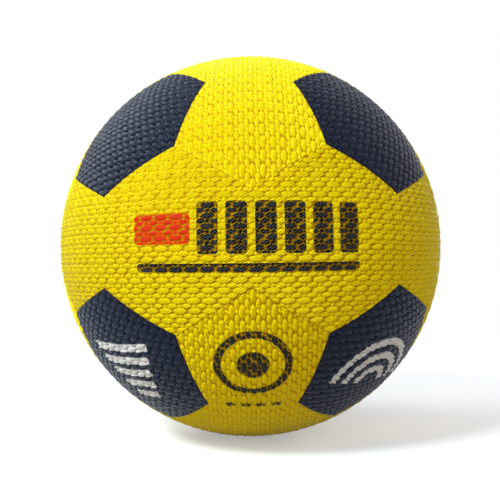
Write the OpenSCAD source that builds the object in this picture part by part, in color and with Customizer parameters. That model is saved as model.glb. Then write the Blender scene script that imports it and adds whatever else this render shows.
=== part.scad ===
/* [Ball] */
// Outside diameter over the cover, which is 550 mm round
ball_d = 175; // [165:1:190]
// Thickness of the moulded rubber cover panels
cover_t = 1.5; // [1.2:0.1:2]
// Thickness of the rubber carcass that the panels are moulded on
carcass_t = 0.6; // [0.4:0.1:1]
// Thickness of the nylon thread wound round the bladder
winding_t = 0.4; // [0.3:0.1:0.6]
// Thickness of the butyl bladder
bladder_t = 0.8; // [0.6:0.1:1.2]

/* [Seams] */
// Width of the pressed groove between two panels, at the surface
seam_w = 1.0; // [0.6:0.1:1.6]
// Depth of the pressed groove
seam_depth = 0.5; // [0.2:0.05:0.8]

/* [Valve] */
// Diameter of the hole that the inflating needle goes into
needle_d = 2.0; // [1.8:0.1:2.4]
// Length of the straight part of the needle hole
needle_depth = 12; // [8:1:14]
// Depth of the funnel that leads the needle in
funnel_depth = 0.8; // [0.5:0.1:1.2]
// Diameter of the valve core's head
head_d = 6.4; // [5.6:0.2:7.2]
// Thickness of the valve core's head
head_t = 1.6; // [1.2:0.1:2]
// Diameter of the valve core's shank
shank_d = 4.8; // [4.4:0.1:5.2]
// Length of the shank, with its closed nose
shank_l = 15.4; // [14:0.2:18]
// Length of the tapered nose, whose two lips shut behind the needle
nose_l = 2.4; // [1.6:0.2:3]
// Diameter of the valve housing where it passes through the wall
neck_d = 9; // [8.4:0.2:10]
// Diameter of the thick tube of the housing, inside the ball
boss_d = 11; // [10:0.2:13]
// Diameter of the housing's flange, bonded under the patch
flange_d = 24; // [20:1:30]
// Thickness of the flange
flange_t = 1.2; // [0.8:0.1:1.6]
// Diameter of the patch that stiffens the bladder round the valve
patch_d = 36; // [30:1:44]
// Thickness of the patch
patch_t = 0.8; // [0.5:0.1:1.2]

/* [Fits] */
// Radial gap between the valve core and its housing
core_gap = 0.03; // [0.01:0.01:0.1]
// How far the valve core's head lies below the cover's surface
head_recess = 0.3; // [0.2:0.1:0.8]
// How far the housing's rim lies below the cover's surface
rim_recess = 0.5; // [0.3:0.1:0.8]

/* [Hidden] */
$fn = 180;
golden = (1 + sqrt(5)) / 2;

ball_r = ball_d / 2;
cover_in_r = ball_r - cover_t;
carcass_in_r = cover_in_r - carcass_t;
winding_in_r = carcass_in_r - winding_t;
bladder_in_r = winding_in_r - bladder_t;
patch_in_r = bladder_in_r - patch_t;
flange_in_r = patch_in_r - flange_t;

// Heights along the valve's axis, counted from the ball's centre
head_top = ball_r - head_recess;
head_seat = head_top - head_t;
nose_tip = head_seat - shank_l;
needle_end = head_top - funnel_depth - needle_depth;
rim_top = ball_r - rim_recess;
boss_end = nose_tip + nose_l;

head_chamfer = 0.3;
nose_tip_d = 2.2;
funnel_d = 3.4;
boss_chamfer = 0.8;

// Panels are cut by flat sides that run from the centre out past the surface
cone_reach = 2.2 * ball_r;
// How far the raised part of a panel is sunk into the part that carries it
layer_overlap = 0.3;
// How far a cutting shape runs past the part that it cuts
cut_past = 1;

// The pattern is a truncated icosahedron: 12 pentagons and 20 hexagons. Its corners lie a third of
// the way along the lines that join neighbouring pentagons' centres. A direction from the ball's
// centre is a vector of length 1.
function unit(p) = p / norm(p);
function corner(from, to) = unit(2 * from + to);
function mirrored(p, x, y) = [p[0] * x, p[1] * y, p[2]];
function backwards(list) = [for (i = [len(list) - 1 : -1 : 0]) list[i]];
function next_in(list, i) = list[(i + 1) % len(list)];

// A strip is a pentagon, two hexagons and a pentagon in a row, here centred on +Z along X. These
// are the corners of the quarter where X and Y are positive.
strip_pentagon = [golden, 0, 1];
strip_hexagon = [1 / golden, 0, golden];
pentagon_above = [0, 1, golden];
pentagon_below = [0, -1, golden];
pentagon_beside = [1, golden, 0];
pentagon_beyond = [golden, 0, -1];
waist = corner(pentagon_above, pentagon_below);
shoulder = corner(pentagon_above, strip_pentagon);
neck = corner(strip_pentagon, pentagon_above);
wing = corner(strip_pentagon, pentagon_beside);
tip = corner(strip_pentagon, pentagon_beyond);

function strip_side(x, y) = [for (p = [shoulder, neck, wing]) mirrored(p, x, y)];
strip_outline = concat(
    [waist], strip_side(1, 1), [tip], backwards(strip_side(1, -1)),
    [mirrored(waist, 1, -1)], strip_side(-1, -1), [mirrored(tip, -1, 1)],
    backwards(strip_side(-1, 1))
);
// Each tile of the strip as its middle and its corners' places in the outline
strip_tiles = [
    [strip_hexagon, [0, 1, 2, 6, 7, 8]],
    [strip_pentagon, [2, 3, 4, 5, 6]],
    [mirrored(strip_hexagon, -1, 1), [8, 9, 10, 14, 15, 0]],
    [mirrored(strip_pentagon, -1, 1), [10, 11, 12, 13, 14]]
];

// A hexagon lies between three pentagons, here centred on the diagonal of +X, +Y and +Z.
around_hexagon = [[golden, 1, 0], [0, golden, 1], [1, 0, golden]];
hexagon_outline = backwards([
    for (i = [0 : 2])
        for (p = [[i, i + 1], [i + 1, i]])
            corner(around_hexagon[p[0] % 3], around_hexagon[p[1] % 3])
]);
hexagon_tiles = [[[1, 1, 1], [0, 1, 2, 3, 4, 5]]];

// The way along the ball's surface from one direction to another
function heading(from, to) = unit(to - from * (from * to));

// A corner moved into its panel, so that both edges there move in by the same width
function inset_corner(before, at, after, width) =
    let (
        half = unit(heading(at, before) + heading(at, after)),
        inward = half * sign(half * cross(after, at)),
        half_angle = acos(abs(heading(at, after) * half))
    )
    unit(at + inward * width / ball_r / sin(half_angle));
function inset(outline, width) = [
    for (i = [0 : len(outline) - 1])
        inset_corner(
            outline[(i + len(outline) - 1) % len(outline)],
            outline[i], next_in(outline, i), width
        )
];

module shell(outer_r, inner_r) {
    difference() {
        sphere(r = outer_r);
        sphere(r = inner_r);
    }
}

// The solid seen from the ball's centre through an outline that runs clockwise from outside
module view_cone(outline, tiles) {
    n = len(outline);
    points = cone_reach * concat([[0, 0, 0]], outline, [for (tile = tiles) unit(tile[0])]);
    sides = [for (i = [0 : n - 1]) [0, (i + 1) % n + 1, i + 1]];
    caps = [
        for (t = [0 : len(tiles) - 1])
            for (i = [0 : len(tiles[t][1]) - 1])
                [n + 1 + t, tiles[t][1][i] + 1, next_in(tiles[t][1], i) + 1]
    ];
    polyhedron(points = points, faces = concat(sides, caps));
}

// A layer of a panel. The spheres' poles are turned to where no outline reaches.
module panel_layer(outer_r, inner_r, outline, tiles) {
    intersection() {
        rotate([0, 90, 0]) rotate([90, 0, 0]) shell(outer_r, inner_r);
        view_cone(outline, tiles);
    }
}

// A panel's edges step down to the floor of the grooves between it and its neighbours
module panel(outline, tiles) {
    floor_r = ball_r - seam_depth;
    panel_layer(floor_r, cover_in_r, outline, tiles);
    panel_layer(ball_r, floor_r - layer_overlap, inset(outline, seam_w / 2), tiles);
}

module strip() {
    color("#f2d80c") panel(strip_outline, strip_tiles);
}

module hexagon(x, y, z) {
    color("#2c3142")
        mirror([x < 0 ? 1 : 0, 0, 0])
            mirror([0, y < 0 ? 1 : 0, 0])
                mirror([0, 0, z < 0 ? 1 : 0])
                    panel(hexagon_outline, hexagon_tiles);
}

// The valve is made along +Z and turned to point out of the back
module on_valve_axis() {
    rotate([-90, 0, 0]) children();
}

module valve_hole() {
    on_valve_axis() cylinder(d = neck_d, h = ball_r + cut_past);
}

module strip_front() {
    rotate([90, 0, 0]) strip();
}

module strip_back() {
    difference() {
        rotate([-90, 0, 0]) strip();
        valve_hole();
    }
}

module strip_top() {
    rotate([0, 0, 90]) strip();
}

module strip_bottom() {
    rotate([180, 0, 90]) strip();
}

module strip_left() {
    rotate([0, -90, 0]) strip();
}

module strip_right() {
    rotate([0, 90, 0]) strip();
}

module layer(outer_r, inner_r) {
    difference() {
        shell(outer_r, inner_r);
        valve_hole();
    }
}

module rubber_carcass() {
    color("#3a3a3c") layer(cover_in_r, carcass_in_r);
}

module nylon_winding() {
    color("#e8e4d8") layer(carcass_in_r, winding_in_r);
}

module butyl_bladder() {
    color("#1c1c1e") layer(winding_in_r, bladder_in_r);
}

// A disc that follows the inside of the ball round the valve
module curved_disc(outer_r, inner_r, d) {
    intersection() {
        shell(outer_r, inner_r);
        cylinder(d = d, h = outer_r + cut_past);
    }
}

module valve_patch() {
    color("#4a4a4d") on_valve_axis()
        difference() {
            curved_disc(bladder_in_r, patch_in_r, patch_d);
            cylinder(d = neck_d, h = ball_r);
        }
}

module valve_housing() {
    neck_start = flange_in_r - flange_t;
    color("#26262a") on_valve_axis()
        difference() {
            union() {
                curved_disc(patch_in_r, flange_in_r, flange_d);
                translate([0, 0, neck_start]) cylinder(d = neck_d, h = rim_top - neck_start);
                translate([0, 0, boss_end + boss_chamfer])
                    cylinder(d = boss_d, h = patch_in_r - 2 * boss_chamfer - boss_end);
                translate([0, 0, boss_end])
                    cylinder(d1 = boss_d - 2 * boss_chamfer, d2 = boss_d, h = boss_chamfer);
            }
            translate([0, 0, head_seat]) cylinder(d = head_d + 2 * core_gap, h = head_t + cut_past);
            translate([0, 0, boss_end - cut_past])
                cylinder(d = shank_d + 2 * core_gap, h = ball_r - boss_end);
        }
}

module valve_core() {
    color("#111113") on_valve_axis()
        rotate_extrude()
            polygon([
                [0, nose_tip],
                [nose_tip_d / 2, nose_tip],
                [shank_d / 2, nose_tip + nose_l],
                [shank_d / 2, head_seat],
                [head_d / 2, head_seat],
                [head_d / 2, head_top - head_chamfer],
                [head_d / 2 - head_chamfer, head_top],
                [funnel_d / 2, head_top],
                [needle_d / 2, head_top - funnel_depth],
                [needle_d / 2, needle_end],
                [0, needle_end]
            ]);
}

strip_front();
strip_back();
strip_top();
strip_bottom();
strip_left();
strip_right();
hexagon(-1, -1, 1);  // hexagon_front_upper_left
hexagon(1, -1, 1);  // hexagon_front_upper_right
hexagon(-1, -1, -1);  // hexagon_front_lower_left
hexagon(1, -1, -1);  // hexagon_front_lower_right
hexagon(-1, 1, 1);  // hexagon_back_upper_left
hexagon(1, 1, 1);  // hexagon_back_upper_right
hexagon(-1, 1, -1);  // hexagon_back_lower_left
hexagon(1, 1, -1);  // hexagon_back_lower_right
rubber_carcass();
nylon_winding();
butyl_bladder();
valve_patch();
valve_housing();
valve_core();
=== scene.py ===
import math

import bpy
import numpy as np
from mathutils import Matrix, Vector
from mathutils.geometry import delaunay_2d_cdt


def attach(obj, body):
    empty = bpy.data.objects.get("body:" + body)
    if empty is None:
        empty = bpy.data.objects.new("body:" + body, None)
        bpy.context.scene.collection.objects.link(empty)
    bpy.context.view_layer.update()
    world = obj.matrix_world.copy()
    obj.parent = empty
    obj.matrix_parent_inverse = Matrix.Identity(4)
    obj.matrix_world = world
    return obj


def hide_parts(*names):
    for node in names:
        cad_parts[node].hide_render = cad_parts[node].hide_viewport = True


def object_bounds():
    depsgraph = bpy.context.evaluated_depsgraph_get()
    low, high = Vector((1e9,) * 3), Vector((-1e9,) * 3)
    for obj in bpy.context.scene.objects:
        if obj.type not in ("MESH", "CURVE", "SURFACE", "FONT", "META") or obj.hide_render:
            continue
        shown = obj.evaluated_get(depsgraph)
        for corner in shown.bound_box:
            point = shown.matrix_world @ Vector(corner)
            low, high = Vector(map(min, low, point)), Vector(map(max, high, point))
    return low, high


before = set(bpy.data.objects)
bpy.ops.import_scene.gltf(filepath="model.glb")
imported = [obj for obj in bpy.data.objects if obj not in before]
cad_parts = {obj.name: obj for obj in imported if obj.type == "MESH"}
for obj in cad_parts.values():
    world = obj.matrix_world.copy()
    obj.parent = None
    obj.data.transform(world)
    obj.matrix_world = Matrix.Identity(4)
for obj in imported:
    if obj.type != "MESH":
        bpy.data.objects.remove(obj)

# Looks of a rubber handball of 14 moulded cover panels with a knit-like relief.
# Lengths are in millimetres, and those of the floor and the lamps in metres.
MM = 0.001
CAD_LOW, CAD_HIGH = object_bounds()
BALL_R = (CAD_HIGH[0] - CAD_LOW[0]) / 2 / MM
GOLDEN = (1 + math.sqrt(5)) / 2
# Keeps a length that is divided by from being 0, and a point on a line from falling beside it
TINY = 1e-9

# Cover panels and the rounded seams between them
COVER_T = 1.48
SEAM_DEPTH = 0.5
SEAM_ROUND_W = 0.5

# Cells of the relief's mesh along and across a panel, before a whole number of them is fitted to each
# pitch, and how many more there are on each side of the panel
GRID = (0.437, 0.277)
GRID_MARGIN = 4
# A point less than this share of a cell inside the outline is moved onto it
SNAP_SHARE = 0.3
# Mesh of the hidden inner side, how far from the rims it starts, and how near two points are one
INNER_GRID = 5.0
INNER_MARGIN = 2.0
INNER_MERGE = 1e-5

# The map for baking textures: the margin round the panel, the width of the bands for the
# walls, where the outer side's centre is, and how far from it the inner side's is
MAP_NAME = "OFBake"
MAP_MARGIN = 4
MAP_BAND_W = 1.5
MAP_CENTRE = (0.5, 0.25)
MAP_INNER_SHIFT = (0, 0.5)

# The valve's hole, the smooth collar round it and the groove round the collar
VALVE_HOLE_R = 4.5
VALVE_COLLAR_W = 2.6
VALVE_COLLAR_DROP = 0.16
VALVE_COLLAR_SLOPE_W = 0.4
VALVE_COLLAR_LEVEL = 0.6
VALVE_GROOVE_W = 0.35
VALVE_GROOVE_DEPTH = 0.2

# Knit relief: long pebbles in rows, short pebbles between the rows, and low bridges
RELIEF_DEPTH = 1.08
PITCH = (6.05, 3.88)
# Half length, half width and height of each kind of pebble, its place in the repeat, its lean and
# the slant of its ends
LONG_PEBBLE = (2.86, 1.2, 1.00, 0.0, 0.0, 0.02, 0.1)
SHORT_PEBBLE = (2.08, 0.98, 0.88, 0.5, 0.5, 0.05, 0.12)
BRIDGE_PEBBLE = (1.02, 0.8, 0.62, 0.0, 0.5, 0.0, 0.4)
PEBBLE_ROUNDNESS = 2.2
# How humped a pebble's top is, from 0 for a flat one, how deep the grooves between its strands are,
# and how much it is swollen against its neighbours
YELLOW_PEBBLES = (0.66, 0.3, 1.0)
NAVY_PEBBLES = (0.3, 0.03, 1.08)
# How much pebbles differ in size and in height
PEBBLE_SIZE_JITTER = 0.05
PEBBLE_HEIGHT_JITTER = 0.07
# How much less of that jitter in height a pebble of full height has
TALL_JITTER_LOSS = 0.5
# The larger this is, the sharper the crease between pebbles that touch
BLEND_POWER = 9
# Slow waves keep the rows from being ruled lines: each one's length and the radians it turns over it
WOBBLE = 0.22
WOBBLE_ACROSS_SHARE = 0.6
WOBBLE_WAVES = ((23.0, 2), (31.0, 2), (31.0, 3))
# Twist of the yarn that the relief imitates
STRAND_PERIOD = 0.76
STRAND_ANGLE = math.radians(31)

# A print's value is its depth in mm inside the print's edge, held to this much, and negative outside
PRINT_REACH = 10.0
INK_ROUGHNESS = 0.14
# Colour of each ink, and the lighter colour painted on its strand crests as a painted glint
INKS = {
    "ink_black": ("#020203", "#787982"),
    "ink_red": ("#e8340f", "#fb5a30"),
    "ink_white": ("#dddee1", "#f3f4f6"),
}


def unit(v):
    return v / np.linalg.norm(v, axis=-1, keepdims=True)


def corner(start, end):
    """The truncated icosahedron's corner a third of the way from one pentagon's centre to the next."""
    return unit(2 * np.array(start, float) + np.array(end, float))


def linear(hex_colour):
    """A written sRGB colour such as #f2d80c as the linear values that a shader takes."""
    parts = [int(hex_colour[i:i + 2], 16) / 255 for i in (1, 3, 5)]
    return tuple(p / 12.92 if p <= 0.04045 else ((p + 0.055) / 1.055) ** 2.4 for p in parts) + (1.0,)


def strip_shape():
    """Corners and tiles of a strip, in its own axes: along, across and outward."""
    pentagon = (GOLDEN, 0, 1)
    above, below = (0, 1, GOLDEN), (0, -1, GOLDEN)
    waist = corner(above, below)
    quarter = [
        corner(above, pentagon),
        corner(pentagon, above),
        corner(pentagon, (1, GOLDEN, 0)),
    ]
    tip = corner(pentagon, (GOLDEN, 0, -1))

    def side(x, y):
        return [p * (x, y, 1) for p in quarter]

    outline = [waist, *side(1, 1), tip, *side(1, -1)[::-1]]
    outline += [waist * (1, -1, 1), *side(-1, -1), tip * (-1, 1, 1), *side(-1, 1)[::-1]]
    tiles = [[0, 1, 2, 6, 7, 8], [2, 3, 4, 5, 6], [8, 9, 10, 14, 15, 0], [10, 11, 12, 13, 14]]
    return np.array(outline), tiles


def hexagon_shape(signs, axes):
    """Corners and tile of the hexagon on a diagonal, in its own axes."""
    around = [np.array(p) * signs for p in ((GOLDEN, 1, 0), (0, GOLDEN, 1), (1, 0, GOLDEN))]
    outline = []
    for i in range(3):
        outline += [corner(around[i], around[(i + 1) % 3]), corner(around[(i + 1) % 3], around[i])]
    if np.prod(signs) > 0:
        outline.reverse()
    return np.array(outline) @ axes.T, [list(range(6))]


def axes_of(along, outward):
    """Rows are a panel's directions along its pebbles, across them and outward."""
    outward = unit(np.array(outward, float))
    along = np.array(along, float)
    along = unit(along - outward * (outward @ along))
    return np.array([along, np.cross(outward, along), outward])


def flat_places(points, centre, up):
    """Places in mm to the right of and above a point of the ball, measured along its surface."""
    axes = axes_of(np.cross(up, centre), centre)
    local = points @ axes.T
    away = np.hypot(local[:, 0], local[:, 1])
    arc = np.arctan2(away, local[:, 2]) * BALL_R / np.maximum(away, TINY)
    return local[:, 0] * arc, local[:, 1] * arc


class Panel:
    """One cover panel: its outline on the ball, its pebble lattice and what is printed on it."""

    def __init__(self, name, axes, outline, tiles, phase, seed, hole_r, prints):
        self.name = name
        self.is_strip = name.startswith("strip")
        self.axes = axes
        self.outline = outline
        self.tiles = tiles
        self.phase = phase
        self.random = np.random.default_rng(seed)
        self.hole_r = hole_r
        self.prints = prints

    def places(self, points):
        """Place along and across the panel, in mm of longitude and latitude."""
        along = np.arctan2(points[:, 0], points[:, 2]) * BALL_R
        return along, np.arcsin(np.clip(points[:, 1], -1, 1)) * BALL_R

    def inside(self, points):
        held = np.zeros(len(points), bool)
        for tile in self.tiles:
            middle = self.outline[tile].sum(0)
            within = np.ones(len(points), bool)
            for a, b in zip(tile, tile[1:] + tile[:1]):
                normal = np.cross(self.outline[a], self.outline[b])
                within &= (points @ normal) * np.sign(middle @ normal) >= -TINY
            held |= within
        return held

    def edge(self, points):
        """Distance in mm inside the outline, negative outside it, and the nearest place on it."""
        best = np.full(len(points), np.inf)
        foot = np.zeros_like(points)
        ends = np.roll(self.outline, -1, axis=0)
        for a, b in zip(self.outline, ends):
            normal = unit(np.cross(a, b))
            beside = points @ normal
            on_line = unit(points - beside[:, None] * normal)
            between = (on_line @ np.cross(normal, a) >= 0) & (on_line @ np.cross(b, normal) >= 0)
            nearer_a = (points @ a > points @ b)[:, None]
            spot = np.where(between[:, None], on_line, np.where(nearer_a, a, b))
            gap = 2 * np.arcsin(np.linalg.norm(points - spot, axis=1) / 2) * BALL_R
            closer = gap < best
            best[closer] = gap[closer]
            foot[closer] = spot[closer]
        best = np.where(self.inside(points), best, -best)
        if self.hole_r:
            away = np.hypot(points[:, 0], points[:, 1])
            gap = np.arctan2(away, points[:, 2]) * BALL_R - self.hole_r
            turn = self.hole_r / BALL_R
            share = math.sin(turn) / np.maximum(away, TINY)
            level = np.full(len(points), math.cos(turn))
            rim = np.stack([points[:, 0] * share, points[:, 1] * share, level], 1)
            closer = gap < best
            best[closer] = gap[closer]
            foot[closer] = rim[closer]
        return best, foot


def wave(place, kind, phase=0.0):
    length, turn = kind
    return WOBBLE * np.sin(place / length * turn + phase)


def pebbles(panel, along, across, strand):
    """Height of the knit relief from 0 to 1, and a tone from -1 to 1 that differs by pebble."""
    first, second, third = WOBBLE_WAVES
    along = along + wave(across, first, panel.phase[0]) + wave(along, second)
    across = across + wave(along, third, panel.phase[1]) * WOBBLE_ACROSS_SHARE
    u = (along - panel.phase[0]) / PITCH[0]
    v = (across - panel.phase[1]) / PITCH[1]
    total = np.zeros_like(u)
    tone = np.zeros_like(u)
    highest = np.zeros_like(u)
    hump, groove, swell = YELLOW_PEBBLES if panel.is_strip else NAVY_PEBBLES
    dip = groove * np.sin(strand)
    for half_l, half_w, height, u0, v0, lean, slant in (LONG_PEBBLE, SHORT_PEBBLE, BRIDGE_PEBBLE):
        row = np.rint(u - u0).astype(int)
        line = np.rint(v - v0).astype(int)
        table = panel.random.uniform(-1, 1, (3, np.ptp(row) + 1, np.ptp(line) + 1))
        size, lift, shade = table[:, row - row.min(), line - line.min()]
        grow = swell * (1 + PEBBLE_SIZE_JITTER * size)
        off_along = (u - u0 - row) * PITCH[0]
        off_across = (v - v0 - line) * PITCH[1] - lean * off_along
        du = np.abs(off_along - slant * off_across) / (half_l * grow)
        dv = np.abs(off_across) / (half_w * grow)
        away = np.clip(du ** PEBBLE_ROUNDNESS + dv ** PEBBLE_ROUNDNESS - dip, 0, 1)
        jitter = PEBBLE_HEIGHT_JITTER * lift * (1 - height * TALL_JITTER_LOSS)
        dome = height * (1 + jitter) * (1 - away) ** hump
        total += dome ** BLEND_POWER
        tone = np.where(dome > highest, shade, tone)
        highest = np.maximum(highest, dome)
    return np.clip(total ** (1 / BLEND_POWER), 0, 1), tone


def surface(panel, points, edge):
    """Radius of the outer surface and the values that its material reads."""
    along, across = panel.places(points)
    over_strands = along * math.sin(STRAND_ANGLE) - across * math.cos(STRAND_ANGLE)
    strand = over_strands / STRAND_PERIOD * 2 * math.pi
    height, tone = pebbles(panel, along, across, strand)
    rise = np.sqrt(1 - (1 - np.clip(edge / SEAM_ROUND_W, 0, 1)) ** 2)
    drop = RELIEF_DEPTH * (1 - height)
    if panel.hole_r:
        away = np.arctan2(np.hypot(points[:, 0], points[:, 1]), points[:, 2]) * BALL_R - panel.hole_r
        collar = np.clip((VALVE_COLLAR_W - away) / VALVE_COLLAR_SLOPE_W, 0, 1)
        groove = np.exp(-((away - VALVE_COLLAR_W) / VALVE_GROOVE_W) ** 2)
        drop = drop * (1 - collar) + VALVE_COLLAR_DROP * collar + groove * VALVE_GROOVE_DEPTH
        height = height * (1 - collar) + VALVE_COLLAR_LEVEL * collar
    radius = BALL_R - SEAM_DEPTH * (1 - rise) - drop * rise
    values = {
        "relief": height * rise,
        "tone": tone,
        "strand": strand,
    }
    values.update({ink: np.full(len(points), -PRINT_REACH) for ink in INKS})
    for ink, centre, up, shape in panel.prints:
        right, above = flat_places(points @ panel.axes, centre, up)
        depth = np.clip(shape(right, above), -PRINT_REACH, PRINT_REACH)
        values[ink] = np.maximum(values[ink], depth)
    return radius, values


def sphere_grid(lines):
    """Points of the unit ball at every pair of places along and across a panel."""
    lon, lat = (a.ravel() / BALL_R for a in np.meshgrid(*lines, indexing="ij"))
    return np.stack([np.cos(lat) * np.sin(lon), np.sin(lat), np.cos(lat) * np.cos(lon)], 1)


def grid_of(panel):
    """Points on a grid over the panel, with those at its edge moved onto the outline, and triangles."""
    lines = []
    for spots, pitch, start, cell in zip(panel.places(panel.outline), PITCH, panel.phase, GRID):
        step = pitch / round(pitch / cell)
        first = int((spots.min() - start) / step - GRID_MARGIN)
        last = int((spots.max() - start) / step + GRID_MARGIN)
        lines.append(start + step * np.arange(first, last + 1))
    points = sphere_grid(lines)
    edge, foot = panel.edge(points)
    held = edge > SNAP_SHARE * min(GRID)
    number = np.arange(len(points)).reshape(len(lines[0]), len(lines[1]))
    cells = [number[:-1, :-1], number[1:, :-1], number[1:, 1:], number[:-1, 1:]]
    cells = np.stack(cells, -1).reshape(-1, 4)
    corners_held = held[cells]
    kept = corners_held.any(1)
    cells, corners_held = cells[kept], corners_held[kept]
    # A cell with one corner held, or one not, is split through that corner.
    count = corners_held.sum(1)
    odd = corners_held[:, 1] | corners_held[:, 3]
    odd_out = ~(corners_held[:, 1] & corners_held[:, 3])
    turned = ((count == 1) & odd) | ((count == 3) & odd_out)
    cells[turned] = np.roll(cells[turned], -1, axis=1)
    triangles = np.concatenate([cells[:, [0, 1, 2]], cells[:, [0, 2, 3]]])
    used = np.unique(triangles)
    moved = used[~held[used]]
    points[moved] = foot[moved]
    edge[moved] = 0
    for spot in panel.outline:
        points[moved[np.argmax(points[moved] @ spot)]] = spot
    renumber = np.full(len(points), -1)
    renumber[used] = np.arange(len(used))
    return points[used], edge[used], renumber[triangles]


def loops_of(triangles):
    """The closed loops of edges that only one triangle uses, in that triangle's direction."""
    edges = np.concatenate([triangles[:, [0, 1]], triangles[:, [1, 2]], triangles[:, [2, 0]]])
    span = edges.max() + 1
    there = edges[:, 0] * span + edges[:, 1]
    back = edges[:, 1] * span + edges[:, 0]
    rim = edges[~np.isin(there, back)]
    following = dict(rim.tolist())
    loops = []
    while following:
        start, at = following.popitem()
        loop = [start]
        while at != start:
            loop.append(at)
            at = following.pop(at)
        loops.append(np.array(loop))
    return loops


def inner_triangles(panel, rim_points, loops):
    """Points inside the panel's rims and the triangles over them, for its hidden inner side."""
    along, across = panel.places(panel.outline)
    lines = [np.arange(v.min(), v.max(), INNER_GRID) for v in (along, across)]
    spots = sphere_grid(lines)
    spots = spots[panel.edge(spots)[0] > INNER_MARGIN]
    points = np.concatenate([rim_points, spots])
    flat = np.stack(panel.places(points), 1)
    edges, start = [], 0
    for loop in loops:
        numbers = list(range(start, start + len(loop)))
        edges += list(zip(numbers, numbers[1:] + numbers[:1]))
        start += len(loop)
    spread = delaunay_2d_cdt([Vector(p) for p in flat], edges, [], 0, INNER_MERGE)
    faces, origins = spread[2], spread[3]
    triangles = np.array([[origins[i][0] for i in face] for face in faces])
    middles = unit(points[triangles].sum(1))
    return points, triangles[panel.edge(middles)[0] > 0]


def wall_triangles(loops, start):
    """Triangles from each rim of the outer side down to the same rim of the inner side, whose points
    are numbered on from start."""
    walls = []
    for loop in loops:
        low = np.arange(start, start + len(loop))
        next_top, next_low = np.roll(loop, -1), np.roll(low, -1)
        walls += [np.stack([next_top, loop, low], 1), np.stack([next_top, low, next_low], 1)]
        start += len(loop)
    return np.concatenate(walls)


def mesh_of(name, places, triangles):
    mesh = bpy.data.meshes.new(name)
    mesh.vertices.add(len(places))
    mesh.vertices.foreach_set("co", places.astype(np.float32).ravel())
    mesh.loops.add(triangles.size)
    mesh.loops.foreach_set("vertex_index", triangles.astype(np.int32).ravel())
    mesh.polygons.add(len(triangles))
    mesh.polygons.foreach_set("loop_start", np.arange(0, triangles.size, 3, dtype=np.int32))
    mesh.update(calc_edges=True)
    mesh.polygons.foreach_set("use_smooth", np.ones(len(triangles), bool))
    return mesh


def sharpen_rims(mesh, loops, start):
    """Marks rim edges as sharp. On a strip the 32-bit products below wrap round, so its higher-numbered
    edges are left smooth. They lie in the seams, and the looks were judged that way."""
    ends = np.zeros(len(mesh.edges) * 2, np.int32)
    mesh.edges.foreach_get("vertices", ends)
    ends = np.sort(ends.reshape(-1, 2), axis=1)
    rims = []
    for loop in loops:
        low = np.arange(start, start + len(loop))
        for rim in (loop, low):
            rims.append(np.sort(np.stack([rim, np.roll(rim, -1)], 1), axis=1))
        start += len(loop)
    rims = np.concatenate(rims)
    span = len(mesh.vertices)
    sharp = np.isin(ends[:, 0] * span + ends[:, 1], rims[:, 0] * span + rims[:, 1])
    mesh.edges.foreach_set("use_edge_sharp", sharp)


def write_values(mesh, values):
    """What the material reads at the outer side's points. The other points are plain and unprinted."""
    for name, value in values.items():
        held = np.full(len(mesh.vertices), -PRINT_REACH if name in INKS else 0.0)
        held[:len(value)] = value
        attribute = mesh.attributes.new(name, "FLOAT", "POINT")
        attribute.data.foreach_set("value", held.astype(np.float32))


def rim_bands(flat, loops):
    """Where the foot of the wall under each rim goes in the map, a little outside the rim."""
    band = np.zeros_like(flat)
    start = 0
    for loop in loops:
        part = flat[start:start + len(loop)]
        way = np.roll(part, -1, axis=0) - np.roll(part, 1, axis=0)
        way /= np.maximum(np.linalg.norm(way, axis=1, keepdims=True), TINY)
        band[start:start + len(loop)] = part + MAP_BAND_W * np.stack([way[:, 1], -way[:, 0]], 1)
        start += len(loop)
    return band


def write_map(mesh, flat, loops, start, outer, walls, inner):
    """The outer side in the image's lower half, the walls in bands round it and the inner side above.
    A hexagon is taller than half the image: it overlaps its inner side, and what would be outside the
    image is pressed flat on its edge."""
    size = 2 * (np.abs(flat).max() + MAP_MARGIN)
    end = start + sum(len(loop) for loop in loops)
    lowered = flat.copy()
    lowered[start:end] = rim_bands(flat[start:end], loops)
    corners = np.concatenate([flat[outer], lowered[walls], flat[inner]]) / size + MAP_CENTRE
    corners[-len(inner):] += MAP_INNER_SHIFT
    layer = mesh.uv_layers.new(name=MAP_NAME)
    layer.data.foreach_set("uv", np.clip(corners, 0, 1).astype(np.float32).ravel())


def panel_object(panel, material):
    """The panel as a closed mesh: relief outside, walls down the seams and a plain inner side."""
    points, edge, outer = grid_of(panel)
    radius, values = surface(panel, points, edge)
    loops = loops_of(outer)
    inner_points, inner = inner_triangles(panel, points[np.concatenate(loops)], loops)
    count = len(points)
    walls = wall_triangles(loops, count)
    inner = inner[:, ::-1] + count

    inner_r = BALL_R - COVER_T
    places = np.concatenate([points * radius[:, None], inner_points * inner_r]) @ panel.axes * MM
    mesh = mesh_of(panel.name, places, np.concatenate([outer, walls, inner]))
    sharpen_rims(mesh, loops, count)
    write_values(mesh, values)
    flat = np.stack(panel.places(np.concatenate([points, inner_points])), 1)
    write_map(mesh, flat, loops, count, outer, walls, inner)
    mesh.materials.append(material)
    mesh.validate()
    piece = bpy.data.objects.new(panel.name + "_cover", mesh)
    bpy.context.scene.collection.objects.link(piece)
    return piece


# Generic prints, as shapes whose value is the distance in mm inside their edge
def block(x, y, half_w, half_h, round_r):
    def shape(right, above):
        dx = np.abs(right - x) - half_w + round_r
        dy = np.abs(above - y) - half_h + round_r
        beyond = np.hypot(np.maximum(dx, 0), np.maximum(dy, 0))
        return round_r - beyond - np.minimum(np.maximum(dx, dy), 0)
    return shape


def ring(x, y, r, half_w):
    def shape(right, above):
        return half_w - np.abs(np.hypot(right - x, above - y) - r)
    return shape


def disc(x, y, r):
    def shape(right, above):
        return r - np.hypot(right - x, above - y)
    return shape


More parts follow.
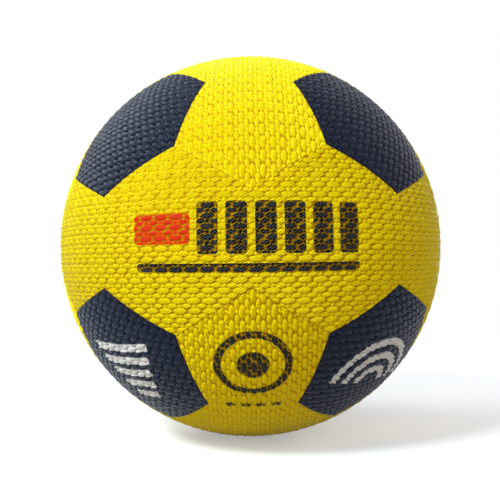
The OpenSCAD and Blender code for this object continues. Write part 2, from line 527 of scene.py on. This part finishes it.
def both(*shapes):
    def shape(right, above):
        return np.max([s(right, above) for s in shapes], axis=0)
    return shape


def upper_half(inner, y):
    def shape(right, above):
        return np.minimum(inner(right, above), above - y)
    return shape


# Each print lies round a point of the ball, with its places in mm to the right of and above it.
UP = (0, 0, 1)
FRONT = (0, -1, 0)
BLOCKS = both(*[block(-16 + 10.6 * i, 4.0, 3.9, 9.6, 1.4) for i in range(6)])
LINE = block(-1.5, -10.6, 43, 1.7, 1.4)
RED_BAR = block(-34.0, 4.0, 11.5, 5.8, 2.0)
LOWER_PENTAGON = (0, -GOLDEN, -1)
RINGS = both(ring(0, -1, 13.5, 1.5), disc(0, -1, 6.2))
DASHES = both(*[block(-9 + 6 * i, -23.5, 1.9, 1.1, 0.6) for i in range(4)])
LEFT_HEXAGON = (-1, -1, -1)
RIGHT_HEXAGON = (1, -1, -1)
WHITE_STRIPES = both(*[block(1.5, 10.5 - 6.2 * i, 16.5 - 2.4 * i, 1.8, 0.9) for i in range(5)])
WHITE_ARCS = upper_half(both(*[ring(0, -9, 7.5 + 6.6 * i, 1.6) for i in range(3)]), -9)

# Where a hexagon's pebble lattice starts, times the signs of its diagonal, and its random seed before
# the number of panels already made is added
HEXAGON_PHASE = (0.7, 0.5)
HEXAGON_SEED = 10
# How many degrees a hexagon's rows are turned from the edge that they follow
ROW_TURNS = {"hexagon_front_lower_left": -8}


def hexagon_rows(signs, turn):
    """Direction of a hexagon's rows: its edge with the top or bottom strip, turned by some degrees."""
    middle = np.array([0, GOLDEN, 1]) * signs
    top = np.array([1, 0, GOLDEN]) * signs
    along, across, _ = axes_of(corner(middle, top) - corner(top, middle), signs)
    return math.cos(math.radians(turn)) * along + math.sin(math.radians(turn)) * across


def all_panels():
    strip_outline, strip_tiles = strip_shape()
    # Each strip's direction along, its direction outward and where its pebble lattice starts
    strips = {
        "strip_front": ((1, 0, 0), (0, -1, 0), (-46.7, 0.5)),
        "strip_back": ((1, 0, 0), (0, 1, 0), (1.4, 0.9)),
        "strip_top": ((0, 1, 0), (0, 0, 1), (-76.4, -0.6)),
        "strip_bottom": ((0, 1, 0), (0, 0, -1), (-74.0, 0.3)),
        "strip_left": ((0, 0, 1), (-1, 0, 0), (2.0, 1.1)),
        "strip_right": ((0, 0, -1), (1, 0, 0), (0.6, -0.8)),
    }
    prints = {
        "strip_front": [
            ("ink_black", FRONT, UP, BLOCKS),
            ("ink_black", FRONT, UP, LINE),
            ("ink_red", FRONT, UP, RED_BAR),
        ],
        "strip_bottom": [
            ("ink_black", LOWER_PENTAGON, UP, RINGS),
            ("ink_black", LOWER_PENTAGON, UP, DASHES),
        ],
        "hexagon_front_lower_left": [("ink_white", LEFT_HEXAGON, UP, WHITE_STRIPES)],
        "hexagon_front_lower_right": [("ink_white", RIGHT_HEXAGON, UP, WHITE_ARCS)],
    }
    panels = []
    for number, (name, (along, outward, phase)) in enumerate(strips.items()):
        panels.append(Panel(
            name, axes_of(along, outward), strip_outline, strip_tiles, phase, number,
            VALVE_HOLE_R if name == "strip_back" else 0.0, prints.get(name, ()),
        ))
    for side, y in (("front", -1), ("back", 1)):
        for level, z in (("upper", 1), ("lower", -1)):
            for hand, x in (("left", -1), ("right", 1)):
                name = f"hexagon_{side}_{level}_{hand}"
                signs = np.array([x, y, z])
                axes = axes_of(hexagon_rows(signs, ROW_TURNS.get(name, 0)), signs)
                outline, tiles = hexagon_shape(signs, axes)
                phase = (HEXAGON_PHASE[0] * x, HEXAGON_PHASE[1] * z)
                panels.append(Panel(
                    name, axes, outline, tiles, phase, HEXAGON_SEED + len(panels),
                    0.0, prints.get(name, ()),
                ))
    return panels


# Materials. Noise is given as its scale per metre, its detail and its roughness, and a ramp as the two
# values that it rises between and, where they aren't 0 and 1, the two that it gives.
GRAIN = (900.0, 4.0, 0.6)
GRAIN_ROUGH = 0.16
GRAIN_DEPTH = 0.05
GRAIN_STRENGTH = 0.5
PATCHES = (28.0, 3.0, 0.55)
PATCH_SHADE = 0.25
PEBBLE_SHADE = 0.05
SHADE_TO_WORN = (0.3, 0.7, 0.3, 0.0)
# Strands fade in with the height of the relief, and their own height takes them from a darker colour
# painted in their grooves as painted shade to the top colour
STRANDS_IN = (0.3, 0.8)
STRAND_GROOVE_SHADE = (-0.8, 0.5)
# Gaps are rougher than the cover's roughness and crests are smoother
ROUGH_FALL = (0.1, 0.9)
GAP_ROUGHER = 0.15
CREST_SMOOTHER = 0.08
# Half width in mm of an ink's soft edge, how far the grain frays it, the relief from which ink holds,
# and the strand height over which a lighter colour is painted on its crests as a painted glint
INK_EDGE = 0.12
INK_FRAY = 0.5
INK_HOLDS = (0.18, 0.32)
INK_PAINTED_GLINT = (0.78, 1.0)
# Plain rubber of the hidden pieces
MOTTLE = (5.0, 0.6)
PLAIN_GRAIN = (2400.0, 3.0, 0.6)
PLAIN_GRAIN_ROUGH = 0.2
PLAIN_GRAIN_DEPTH = 0.06
# Directions in which the thread is wound, and its wave texture
THREAD_TURNS = ((0.3, 0.2, 0.1), (1.4, 0.9, 0.4), (0.7, 2.1, 1.2))
THREAD_SCALE = 380.0
THREAD_DISTORTION = 1.5
THREAD_DEPTH = 0.2
# Thread height over which the colour goes from the darker one painted in the gaps as painted shade to
# the lighter tops
THREAD_GAP_SHADE = (0.4, 1.0)
THREAD_ROUGH = (0.3, 1.0, 0.75, 0.5)


class Nodes:
    """A short way to write a material's nodes."""

    def __init__(self, name):
        self.material = bpy.data.materials.new(name)
        self.material.use_nodes = True
        self.tree = self.material.node_tree
        self.shader = self.tree.nodes["Principled BSDF"]
        self.coordinates = self.tree.nodes.new("ShaderNodeTexCoord").outputs["Object"]

    def put(self, socket, value):
        if isinstance(value, bpy.types.NodeSocket):
            self.tree.links.new(value, socket)
        else:
            socket.default_value = value

    def attribute(self, name):
        node = self.tree.nodes.new("ShaderNodeAttribute")
        node.attribute_name = name
        return node.outputs["Fac"]

    def math(self, operation, a, b=0.0, c=0.0, clamp=False):
        node = self.tree.nodes.new("ShaderNodeMath")
        node.operation = operation
        node.use_clamp = clamp
        self.put(node.inputs[0], a)
        self.put(node.inputs[1], b)
        self.put(node.inputs[2], c)
        return node.outputs[0]

    def ramp(self, value, low, high, to_low=0.0, to_high=1.0):
        """A smooth step between two levels, as value goes from low to high."""
        node = self.tree.nodes.new("ShaderNodeMapRange")
        node.interpolation_type = "SMOOTHSTEP"
        for socket, v in zip(node.inputs, (value, low, high, to_low, to_high)):
            self.put(socket, v)
        return node.outputs[0]

    def noise(self, per_metre, detail, rough):
        node = self.tree.nodes.new("ShaderNodeTexNoise")
        self.put(node.inputs["Vector"], self.coordinates)
        node.inputs["Scale"].default_value = per_metre
        node.inputs["Detail"].default_value = detail
        node.inputs["Roughness"].default_value = rough
        return node.outputs["Fac"]

    def mix(self, share, a, b):
        node = self.tree.nodes.new("ShaderNodeMix")
        node.data_type = "RGBA"
        self.put(node.inputs[0], share)
        self.put(node.inputs[6], a)
        self.put(node.inputs[7], b)
        return node.outputs[2]

    def bump(self, height, depth_mm, strength=1.0, before=None):
        node = self.tree.nodes.new("ShaderNodeBump")
        node.inputs["Strength"].default_value = strength
        node.inputs["Distance"].default_value = depth_mm * MM
        self.put(node.inputs["Height"], height)
        if before is not None:
            self.put(node.inputs["Normal"], before)
        return node.outputs[0]

    def finish(self, colour, roughness, normal, **sockets):
        self.put(self.shader.inputs["Base Color"], colour)
        self.put(self.shader.inputs["Roughness"], roughness)
        self.put(self.shader.inputs["Normal"], normal)
        for name, value in sockets.items():
            self.shader.inputs[name.replace("_", " ")].default_value = value
        return self.material


def cover_material(name, top, valley_shade, worn_and_groove_shade, inks, roughness, strand_mm, rise, **gloss):
    """Moulded rubber with a knit-like relief, with painted shade in the gaps between pebbles and in the
    strands' grooves. A print's ink covers all but the gaps between pebbles, with a painted glint on its
    strand crests.
    """
    n = Nodes(name)
    relief, tone = n.attribute("relief"), n.attribute("tone")
    grain = n.noise(*GRAIN)
    patches = n.noise(*PATCHES)
    strands = n.math("SINE", n.attribute("strand"))
    strands = n.math("MULTIPLY", strands, n.ramp(relief, *STRANDS_IN))
    # Painted shade: the strands' grooves take the darker worn colour, and their crests the top colour.
    colour = n.mix(n.ramp(strands, *STRAND_GROOVE_SHADE), linear(worn_and_groove_shade), linear(top))
    # The darker colour in the gaps between pebbles and along the seams is painted shade, rising to the
    # top colour with the relief.
    colour = n.mix(n.ramp(relief, *rise), linear(valley_shade), colour)
    shade = n.math("MULTIPLY_ADD", tone, PEBBLE_SHADE, 0.5)
    patchy = n.math("MULTIPLY", n.math("SUBTRACT", patches, 0.5), PATCH_SHADE)
    shade = n.math("ADD", shade, patchy, clamp=True)
    colour = n.mix(n.ramp(shade, *SHADE_TO_WORN), colour, linear(worn_and_groove_shade))
    rough = n.ramp(relief, *ROUGH_FALL, roughness + GAP_ROUGHER, roughness - CREST_SMOOTHER)
    rough = n.math("ADD", n.math("MULTIPLY", grain, GRAIN_ROUGH), rough)
    for ink in inks:
        fray = n.math("MULTIPLY", n.math("SUBTRACT", grain, 0.5), INK_FRAY)
        ragged = n.math("ADD", n.attribute(ink), fray)
        inked = n.math("MULTIPLY", n.ramp(ragged, -INK_EDGE, INK_EDGE), n.ramp(relief, *INK_HOLDS))
        # Painted glint: the ink turns to its lighter colour on the strands' crests.
        ink_colour = n.mix(n.ramp(strands, *INK_PAINTED_GLINT), *(linear(c) for c in INKS[ink]))
        colour = n.mix(inked, colour, ink_colour)
        rough = n.math("SUBTRACT", rough, n.math("MULTIPLY", inked, roughness - INK_ROUGHNESS))
    normal = n.bump(strands, strand_mm)
    normal = n.bump(grain, GRAIN_DEPTH, GRAIN_STRENGTH, normal)
    return n.finish(colour, rough, normal, **gloss)


def rubber_material(name, dark, light, roughness, mottle_mm):
    """Plain dull rubber with faint mottling and a fine moulded grain."""
    n = Nodes(name)
    mottle = n.noise(1000 / mottle_mm, *MOTTLE)
    grain = n.noise(*PLAIN_GRAIN)
    colour = n.mix(mottle, linear(dark), linear(light))
    rough = n.math("MULTIPLY", grain, PLAIN_GRAIN_ROUGH)
    rough = n.math("ADD", rough, roughness - PLAIN_GRAIN_ROUGH / 2)
    return n.finish(colour, rough, n.bump(grain, PLAIN_GRAIN_DEPTH))


def thread_material():
    """Nylon thread wound round the bladder in crossing great circles."""
    n = Nodes("nylon_thread")
    heights = []
    for turn in THREAD_TURNS:
        place = n.tree.nodes.new("ShaderNodeMapping")
        place.inputs["Rotation"].default_value = turn
        n.put(place.inputs["Vector"], n.coordinates)
        wave_node = n.tree.nodes.new("ShaderNodeTexWave")
        wave_node.inputs["Scale"].default_value = THREAD_SCALE
        wave_node.inputs["Distortion"].default_value = THREAD_DISTORTION
        n.put(wave_node.inputs["Vector"], place.outputs[0])
        heights.append(wave_node.outputs["Fac"])
    top = n.math("MAXIMUM", n.math("MAXIMUM", heights[0], heights[1]), heights[2])
    # Painted shade: the gaps between threads are darker, and the thread tops lighter.
    colour = n.mix(n.ramp(top, *THREAD_GAP_SHADE), linear("#9b9686"), linear("#ece8dc"))
    return n.finish(colour, n.ramp(top, *THREAD_ROUGH), n.bump(top, THREAD_DEPTH))


# Colours: the top, the painted shade in the gaps, and the colour of worn patches, which also paints
# shade in the strands' grooves.
YELLOW = cover_material(
    "yellow_knit_rubber", "#fdeb0c", "#b27c00", "#edcd00", ("ink_black", "ink_red"),
    roughness=0.27, strand_mm=0.12, rise=(0.03, 0.46),
    IOR=1.15, Specular_IOR_Level=0.8, Specular_Tint=(1, 0.95, 0.7, 1),
)
NAVY = cover_material(
    "navy_knit_rubber", "#13172d", "#010102", "#0e1122", ("ink_white",),
    roughness=0.36, strand_mm=0.02, rise=(0.2, 0.55),
    IOR=1.2, Specular_IOR_Level=0.65, Specular_Tint=(0.64, 0.78, 1, 1),
    Sheen_Weight=0.08, Sheen_Roughness=0.4, Sheen_Tint=(0.4, 0.5, 1, 1),
)

for panel in all_panels():
    piece = panel_object(panel, YELLOW if panel.is_strip else NAVY)
    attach(piece, "ball")
    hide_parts(panel.name)


def dress(node, material):
    """Gives a CAD node its own material."""
    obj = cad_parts[node]
    obj.data.materials.clear()
    obj.data.materials.append(material)


dress("rubber_carcass", rubber_material("carcass_rubber", "#2c2c2e", "#454548", 0.7, 9.0))
dress("nylon_winding", thread_material())
dress("butyl_bladder", rubber_material("butyl_rubber", "#121214", "#242427", 0.45, 12.0))
dress("valve_patch", rubber_material("patch_rubber", "#3c3c3f", "#555559", 0.75, 5.0))
dress("valve_housing", rubber_material("valve_rubber", "#1c1c20", "#303035", 0.5, 3.0))
dress("valve_core", rubber_material("core_rubber", "#0c0c0e", "#1c1c1f", 0.4, 2.5))


# Floor, light and camera
FLOOR_Z = -BALL_R
FLOOR_ROUGHNESS = 0.9
# The floor's own colour, which lights the ball from below, and the colour that the camera sees
FLOOR_LIT = (0.44, 0.355, 0.30, 1)
FLOOR_SEEN = (0.88, 0.92, 1.0, 1)
# Metres from the ball's foot over which the floor turns to plain white
FLOOR_FADE = (0.22, 0.55)
WORLD_COLOUR = (1.0, 0.95, 0.90, 1)
WHITE = (1, 1, 1, 1)

# The photograph's camera: its distance in ball radii, its turn in degrees, its focal length and the
# image's width in pixels, and the pixel at which the ball's middle is
CAMERA_DISTANCE = 3.849
CAMERA_TURN = (-1.923, 0.256, 0.717)
CAMERA_FOCAL = 707.2
IMAGE_W = 500
BALL_PIXEL = (250.63, 246.19)
SENSOR_W = 36


def is_seen(tree):
    """1 for the camera's rays and for those that gloss or glass passes on, and otherwise 0."""
    path = tree.nodes.new("ShaderNodeLightPath")
    outputs = [path.outputs[name] for name in ("Is Camera Ray", "Is Glossy Ray", "Is Transmission Ray")]
    total = outputs[0]
    for other in outputs[1:]:
        node = tree.nodes.new("ShaderNodeMath")
        node.operation = "MAXIMUM"
        tree.links.new(total, node.inputs[0])
        tree.links.new(other, node.inputs[1])
        total = node.outputs[0]
    return total


def make_world(light_strength):
    world = bpy.data.worlds.new("studio")
    bpy.context.scene.world = world
    world.use_nodes = True
    tree = world.node_tree
    lit = tree.nodes["Background"]
    lit.inputs["Color"].default_value = WORLD_COLOUR
    lit.inputs["Strength"].default_value = light_strength
    shown = tree.nodes.new("ShaderNodeBackground")
    shown.inputs["Color"].default_value = WHITE
    mix = tree.nodes.new("ShaderNodeMixShader")
    tree.links.new(is_seen(tree), mix.inputs[0])
    tree.links.new(lit.outputs[0], mix.inputs[1])
    tree.links.new(shown.outputs[0], mix.inputs[2])
    tree.links.new(mix.outputs[0], tree.nodes["World Output"].inputs[0])


def make_floor(half_m, extra_white):
    sides = ((-1, -1), (1, -1), (1, 1), (-1, 1))
    corners = [(x * half_m, y * half_m, FLOOR_Z * MM) for x, y in sides]
    mesh = bpy.data.meshes.new("floor")
    mesh.from_pydata(corners, [], [(0, 1, 2, 3)])
    floor = bpy.data.objects.new("floor", mesh)
    bpy.context.scene.collection.objects.link(floor)
    material = bpy.data.materials.new("floor")
    material.use_nodes = True
    shader = material.node_tree.nodes["Principled BSDF"]
    shader.inputs["Roughness"].default_value = FLOOR_ROUGHNESS
    shader.inputs["Emission Color"].default_value = WHITE
    seen = is_seen(material.node_tree)
    shade = material.node_tree.nodes.new("ShaderNodeMix")
    shade.data_type = "RGBA"
    shade.inputs[6].default_value = FLOOR_LIT
    shade.inputs[7].default_value = FLOOR_SEEN
    material.node_tree.links.new(seen, shade.inputs[0])
    material.node_tree.links.new(shade.outputs[2], shader.inputs["Base Color"])
    glow = material.node_tree.nodes.new("ShaderNodeMath")
    glow.operation = "MULTIPLY"
    glow.inputs[1].default_value = extra_white
    material.node_tree.links.new(seen, glow.inputs[0])
    material.node_tree.links.new(glow.outputs[0], shader.inputs["Emission Strength"])
    fade_to_white(material.node_tree, shader, seen)
    mesh.materials.append(material)


def fade_to_white(tree, shader, seen):
    """The floor far from the ball shows plain white to the camera, like the background."""
    place = tree.nodes.new("ShaderNodeTexCoord")
    length = tree.nodes.new("ShaderNodeVectorMath")
    length.operation = "LENGTH"
    tree.links.new(place.outputs["Object"], length.inputs[0])
    far = tree.nodes.new("ShaderNodeMapRange")
    far.interpolation_type = "SMOOTHSTEP"
    far.inputs["From Min"].default_value = FLOOR_FADE[0]
    far.inputs["From Max"].default_value = FLOOR_FADE[1]
    tree.links.new(length.outputs["Value"], far.inputs["Value"])
    share = tree.nodes.new("ShaderNodeMath")
    share.operation = "MULTIPLY"
    tree.links.new(far.outputs[0], share.inputs[0])
    tree.links.new(seen, share.inputs[1])
    plain = tree.nodes.new("ShaderNodeEmission")
    plain.inputs["Color"].default_value = WHITE
    mix = tree.nodes.new("ShaderNodeMixShader")
    tree.links.new(share.outputs[0], mix.inputs[0])
    tree.links.new(shader.outputs[0], mix.inputs[1])
    tree.links.new(plain.outputs[0], mix.inputs[2])
    tree.links.new(mix.outputs[0], tree.nodes["Material Output"].inputs[0])


def lamp(name, place, size, power, colour):
    """A soft square lamp that faces the ball, with its power in watts."""
    light = bpy.data.lights.new(name, "AREA")
    light.size = size
    light.energy = power
    light.color = colour
    obj = bpy.data.objects.new(name, light)
    obj.location = place
    obj.rotation_euler = Vector(place).to_track_quat("Z", "Y").to_euler()
    bpy.context.scene.collection.objects.link(obj)


def make_camera():
    """The photograph's view, from a little below the ball's middle and slightly rolled."""
    distance = CAMERA_DISTANCE * BALL_R * MM
    pitch, yaw, roll = (math.radians(a) for a in CAMERA_TURN)
    turn = Matrix.Rotation(math.hypot(pitch, yaw, roll), 3, Vector((pitch, yaw, roll)))
    to_row = Matrix(((1, 0, 0), (0, 0, -1), (0, 1, 0)))
    axes = [to_row @ turn[i] for i in range(3)]
    camera = bpy.data.objects.new("camera", bpy.data.cameras.new("camera"))
    rotation = Matrix(axes).transposed().to_4x4()
    camera.matrix_world = Matrix.Translation(axes[2] * distance) @ rotation
    camera.data.sensor_width = SENSOR_W
    camera.data.lens = CAMERA_FOCAL * SENSOR_W / IMAGE_W
    camera.data.shift_x = (IMAGE_W / 2 - BALL_PIXEL[0]) / IMAGE_W
    camera.data.shift_y = (BALL_PIXEL[1] - IMAGE_W / 2) / IMAGE_W
    camera.data.clip_start = 0.01
    bpy.context.scene.collection.objects.link(camera)
    bpy.context.scene.camera = camera


make_world(light_strength=0.285)
make_floor(half_m=4.0, extra_white=0.36)
lamp("key", (-0.6, -0.7, 0.74), 0.26, 12.0, (0.84, 1.0, 0.96))
lamp("fill", (0.06, -1.2, 0.4), 0.6, 3.0, (1.0, 0.93, 0.87))
lamp("side", (-0.92, 0.38, 0.76), 0.6, 5.8, (0.80, 0.97, 1.0))
lamp("back", (0.5, 1.1, 0.1), 0.3, 5.0, (1.0, 0.97, 0.92))
make_camera()
bpy.context.scene.view_settings.view_transform = "Standard"
